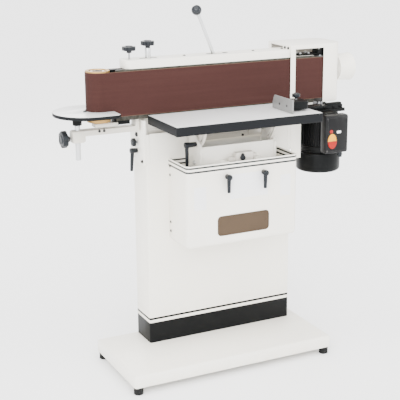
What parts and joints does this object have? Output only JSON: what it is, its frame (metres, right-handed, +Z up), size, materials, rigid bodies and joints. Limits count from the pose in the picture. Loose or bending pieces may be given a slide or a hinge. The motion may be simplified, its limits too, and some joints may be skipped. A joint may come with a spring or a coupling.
{
  "type": "edge belt sander",
  "caption": "Pedestal edge belt sander: a horizontal belt on edge over two rollers, a tilting main table with a stop, a half-round end table, a motor under the drive end and a dust hood.",
  "frame": {"origin": "on the floor under the middle of the machine's outer box", "axes": "+X along the belt towards the motor, +Y to the back (away from the operator), +Z up"},
  "size_m": [1.174, 0.4048, 1.279],
  "materials": {
    "white_paint": "semi-gloss warm white powder coat",
    "black_paint": "satin black enamel",
    "black_plastic": "moulded, fine grain",
    "cast_table": "precision ground top, dark painted edge",
    "bright_steel": "turned or ground, bare",
    "bronze_rim": "crowned and machined",
    "graphite": "graphite-coated canvas",
    "abrasive": "closed-coat aluminium oxide on cloth",
    "rubber": "matt",
    "grey_paint": "grey enamel",
    "yellow_plastic": "moulded",
    "red_plastic": "moulded"
  },
  "bodies": {
    "stand": {"base_plate": "white_paint", "column": "white_paint", "front_box": "white_paint", "left_side_plate": "white_paint", "right_side_plate": "white_paint", "left_pivot_pin": "black_paint", "right_pivot_pin": "black_paint", "guide_post_left": "bright_steel", "guide_post_right": "bright_steel"},
    "foot_front_left": {"foot_front_left": "rubber"},
    "foot_front_right": {"foot_front_right": "rubber"},
    "foot_back_left": {"foot_back_left": "rubber"},
    "foot_back_right": {"foot_back_right": "rubber"},
    "lock_handle_left": {"lock_handle_left": "black_plastic"},
    "lock_handle_right": {"lock_handle_right": "black_plastic"},
    "tilt_star_knob": {"tilt_star_knob": "black_plastic"},
    "tilt_lock_lever": {"tilt_lock_lever": "black_plastic"},
    "cradle": {"head_cradle": "white_paint", "end_table_arm": "white_paint"},
    "end_table_knob": {"end_table_knob": "black_plastic"},
    "end_table": {"end_table": "cast_table", "end_table_post": "bright_steel"},
    "carriage": {"table_carriage": "white_paint"},
    "table_lock_lever": {"table_lock_lever": "black_plastic"},
    "table": {"main_table": "cast_table", "table_trunnion_left": "white_paint", "table_trunnion_right": "white_paint", "stop_bar": "bright_steel"},
    "work_stop": {"work_stop_plate": "grey_paint", "work_stop_arm": "black_paint"},
    "work_stop_knob": {"work_stop_knob": "black_plastic"},
    "head": {"head_beam": "white_paint", "platen": "bright_steel", "graphite_pad": "graphite", "sanding_belt": "abrasive", "top_cover": "white_paint", "upper_bearing_plate": "black_paint", "motor_body": "black_paint", "fan_cowl": "black_paint", "hood": "white_paint", "dust_port": "white_paint", "switch_bracket": "black_paint", "switch_box": "black_plastic", "switch_gland": "black_plastic", "lock_knob_sleeve": "bright_steel"},
    "drive": {"drive_roller": "rubber", "motor_rotor": "bright_steel", "motor_fan": "black_plastic"},
    "tension": {"tension_bracket": "black_paint", "tension_spring": "bright_steel"},
    "idler": {"idler_roller": "bronze_rim"},
    "tension_lever": {"tension_lever": "bright_steel", "tension_ball": "black_plastic"},
    "tracking_knob": {"tracking_knob": "black_plastic"},
    "tracking_lock_knob": {"tracking_lock_knob": "black_plastic"},
    "switch_start": {"switch_start_button": "yellow_plastic"},
    "switch_stop": {"switch_stop_button": "red_plastic"}
  },
  "joints": [
    {"name": "foot_front_left_turn", "type": "hinge", "parent": "stand", "child": "foot_front_left", "pos_m": [-0.4155, -0.1791, 0], "axis": [0, 0, 1], "range_deg": [-720, 720]},
    {"name": "foot_front_right_turn", "type": "hinge", "parent": "stand", "child": "foot_front_right", "pos_m": [0.3305, -0.1791, 0], "axis": [0, 0, 1], "range_deg": [-720, 720]},
    {"name": "foot_back_left_turn", "type": "hinge", "parent": "stand", "child": "foot_back_left", "pos_m": [-0.4155, 0.1509, 0], "axis": [0, 0, 1], "range_deg": [-720, 720]},
    {"name": "foot_back_right_turn", "type": "hinge", "parent": "stand", "child": "foot_back_right", "pos_m": [0.3305, 0.1509, 0], "axis": [0, 0, 1], "range_deg": [-720, 720]},
    {"name": "lock_handle_left_turn", "type": "hinge", "parent": "stand", "child": "lock_handle_left", "pos_m": [-0.04, -0.1111, 0.708], "axis": [0, 1, 0], "range_deg": [-60, 60]},
    {"name": "lock_handle_right_turn", "type": "hinge", "parent": "stand", "child": "lock_handle_right", "pos_m": [0.104, -0.1111, 0.708], "axis": [0, 1, 0], "range_deg": [-60, 60]},
    {"name": "tilt_star_turn", "type": "hinge", "parent": "stand", "child": "tilt_star_knob", "pos_m": [-0.2843, 0.1024, 0.812], "axis": [1, 0, 0], "range_deg": [-360, 360]},
    {"name": "tilt_lock_turn", "type": "hinge", "parent": "stand", "child": "tilt_lock_lever", "pos_m": [-0.2843, 0.1024, 0.783], "axis": [1, 0, 0], "range_deg": [-20, 60]},
    {"name": "head_tilt", "type": "hinge", "parent": "stand", "child": "cradle", "pos_m": [0.015, 0.1024, 0.84], "axis": [-1, 0, 0], "range_deg": [0, 90]},
    {"name": "end_table_knob_turn", "type": "hinge", "parent": "cradle", "child": "end_table_knob", "pos_m": [-0.557, 0.0844, 0.8525], "axis": [1, 0, 0], "range_deg": [-360, 360]},
    {"name": "end_table_lift", "type": "slide", "parent": "cradle", "child": "end_table", "axis": [0, 0, 1], "range_m": [-0.012, 0.05]},
    {"name": "table_lift", "type": "slide", "parent": "stand", "child": "carriage", "axis": [0, 0, 1], "range_m": [-0.04, 0.02]},
    {"name": "table_lock_turn", "type": "hinge", "parent": "carriage", "child": "table_lock_lever", "pos_m": [-0.117, -0.02828, 0.81341], "axis": [1, 0, 0], "range_deg": [-40, 60]},
    {"name": "table_tilt", "type": "hinge", "parent": "carriage", "child": "table", "pos_m": [0.015, 0.0254, 0.893], "axis": [1, 0, 0], "range_deg": [0, 30]},
    {"name": "work_stop_slide", "type": "slide", "parent": "table", "child": "work_stop", "axis": [1, 0, 0], "range_m": [-0.014, 0.028]},
    {"name": "work_stop_knob_turn", "type": "hinge", "parent": "work_stop", "child": "work_stop_knob", "pos_m": [0.243, -0.0936, 0.9667], "axis": [0, 0, 1], "range_deg": [-360, 360]},
    {"name": "head_oscillation", "type": "slide", "parent": "cradle", "child": "head", "axis": [0, 0, 1], "range_m": [-0.004, 0.004]},
    {"name": "drive_spin", "type": "hinge", "parent": "head", "child": "drive", "pos_m": [0.453, 0.0844, 0.903], "axis": [0, 0, 1], "continuous": true},
    {"name": "tension_slide", "type": "slide", "parent": "head", "child": "tension", "axis": [1, 0, 0], "range_m": [0, 0.012]},
    {"name": "idler_spin", "type": "hinge", "parent": "tension", "child": "idler", "pos_m": [-0.429, 0.0844, 0.903], "axis": [0, 0, 1], "continuous": true},
    {"name": "tension_lever_turn", "type": "hinge", "parent": "head", "child": "tension_lever", "pos_m": [0.013, 0.0844, 1.0903], "axis": [0, 1, 0], "range_deg": [0, 75]},
    {"name": "tracking_knob_turn", "type": "hinge", "parent": "head", "child": "tracking_knob", "pos_m": [-0.313, 0.0844, 1.144], "axis": [0, 0, 1], "range_deg": [-720, 720]},
    {"name": "tracking_lock_turn", "type": "hinge", "parent": "head", "child": "tracking_lock_knob", "pos_m": [-0.244, 0.0844, 1.159], "axis": [0, 0, 1], "range_deg": [-360, 360]},
    {"name": "switch_start_press", "type": "slide", "parent": "head", "child": "switch_start", "axis": [0, 1, 0], "range_m": [0, 0.003], "stiffness_N_per_m": 400},
    {"name": "switch_stop_press", "type": "slide", "parent": "head", "child": "switch_stop", "axis": [0, 1, 0], "range_m": [0, 0.003], "stiffness_N_per_m": 400}
  ],
  "couplings": [
    {"joint": "tension_slide", "follows": "tension_lever_turn", "m_per_rad": 0.0091673},
    {"joint": "idler_spin", "follows": "drive_spin", "ratio": 1}
  ]
}
